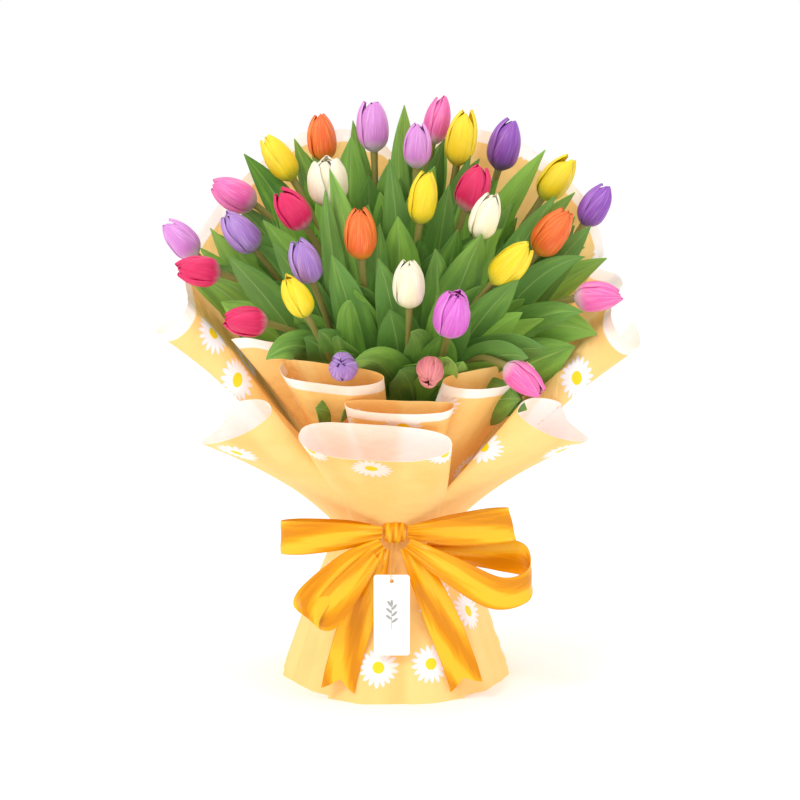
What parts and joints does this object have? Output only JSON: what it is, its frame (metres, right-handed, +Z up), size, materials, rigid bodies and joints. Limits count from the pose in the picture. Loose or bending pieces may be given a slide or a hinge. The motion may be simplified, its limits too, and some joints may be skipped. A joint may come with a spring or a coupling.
{
  "type": "wrapped bunch of tulips",
  "caption": "Hand-tied bunch of mixed tulips in a flared paper wrap with rolled edges, a skirt, a satin ribbon bow and a blank hanging tag.",
  "frame": {"origin": "middle of the flat cut end of the central stem, on the surface that the bunch stands on", "axes": "+Z up along the bunch, -Y towards the front, where the bow and the tag are, +X to the right as seen from the front"},
  "size_m": [0.4611, 0.322, 0.5487],
  "materials": {
    "tulip_orange": "satin petals over fresh green stem and leaves",
    "tulip_yellow": "satin petals over fresh green stem and leaves",
    "tulip_lilac": "satin petals over fresh green stem and leaves",
    "tulip_pink": "satin petals over fresh green stem and leaves",
    "tulip_violet": "satin petals over fresh green stem and leaves",
    "tulip_cream": "satin petals over fresh green stem and leaves",
    "tulip_magenta": "satin petals over fresh green stem and leaves",
    "tulip_orchid": "satin petals over fresh green stem and leaves",
    "tulip_coral": "satin petals over fresh green stem and leaves",
    "stem": "fresh cut tulip stem, satin",
    "leaf": "fresh leaf with a faint waxy bloom",
    "wrapping_paper": "matt printed wrapping paper with a pale border and white daisies",
    "satin_ribbon": "satin weave",
    "twine": "rough twisted jute",
    "tag_card": "smooth white card",
    "tag_thread": "fine gold thread"
  },
  "bodies": {
    "root": {"tulip_01_orange": "tulip_orange", "tulip_02_yellow": "tulip_yellow", "tulip_03_lilac": "tulip_lilac", "tulip_04_lilac": "tulip_lilac", "tulip_05_pink": "tulip_pink", "tulip_06_yellow": "tulip_yellow", "tulip_07_violet": "tulip_violet", "tulip_08_yellow": "tulip_yellow", "tulip_09_violet": "tulip_violet", "tulip_10_cream": "tulip_cream", "tulip_11_pink": "tulip_pink", "tulip_12_magenta": "tulip_magenta", "tulip_13_violet": "tulip_violet", "tulip_14_lilac": "tulip_lilac", "tulip_15_magenta": "tulip_magenta", "tulip_16_orange": "tulip_orange", "tulip_17_yellow": "tulip_yellow", "tulip_18_magenta": "tulip_magenta", "tulip_19_cream": "tulip_cream", "tulip_20_orange": "tulip_orange", "tulip_21_yellow": "tulip_yellow", "tulip_22_violet": "tulip_violet", "tulip_23_yellow": "tulip_yellow", "tulip_24_cream": "tulip_cream", "tulip_25_orchid": "tulip_orchid", "tulip_26_magenta": "tulip_magenta", "tulip_27_pink": "tulip_pink", "tulip_28_violet": "tulip_violet", "tulip_29_coral": "tulip_coral", "tulip_30_pink": "tulip_pink", "wrap_inner_left_rear": "wrapping_paper", "wrap_inner_left": "wrapping_paper", "wrap_inner_right": "wrapping_paper", "wrap_inner_front": "wrapping_paper", "wrap_back_left": "wrapping_paper", "wrap_back_right": "wrapping_paper", "wrap_left": "wrapping_paper", "wrap_right": "wrapping_paper", "wrap_collar_left": "wrapping_paper", "wrap_collar_right": "wrapping_paper", "wrap_front": "wrapping_paper", "binding_twine": "twine", "ribbon_band": "satin_ribbon", "bow_knot": "satin_ribbon", "bow_loop_upper_left": "satin_ribbon", "bow_loop_upper_right": "satin_ribbon", "bow_loop_lower_left": "satin_ribbon", "bow_loop_lower_right": "satin_ribbon", "ribbon_tail_left": "satin_ribbon", "ribbon_tail_right": "satin_ribbon", "tag": "tag_card", "tag_string": "tag_thread"}
  },
  "joints": []
}
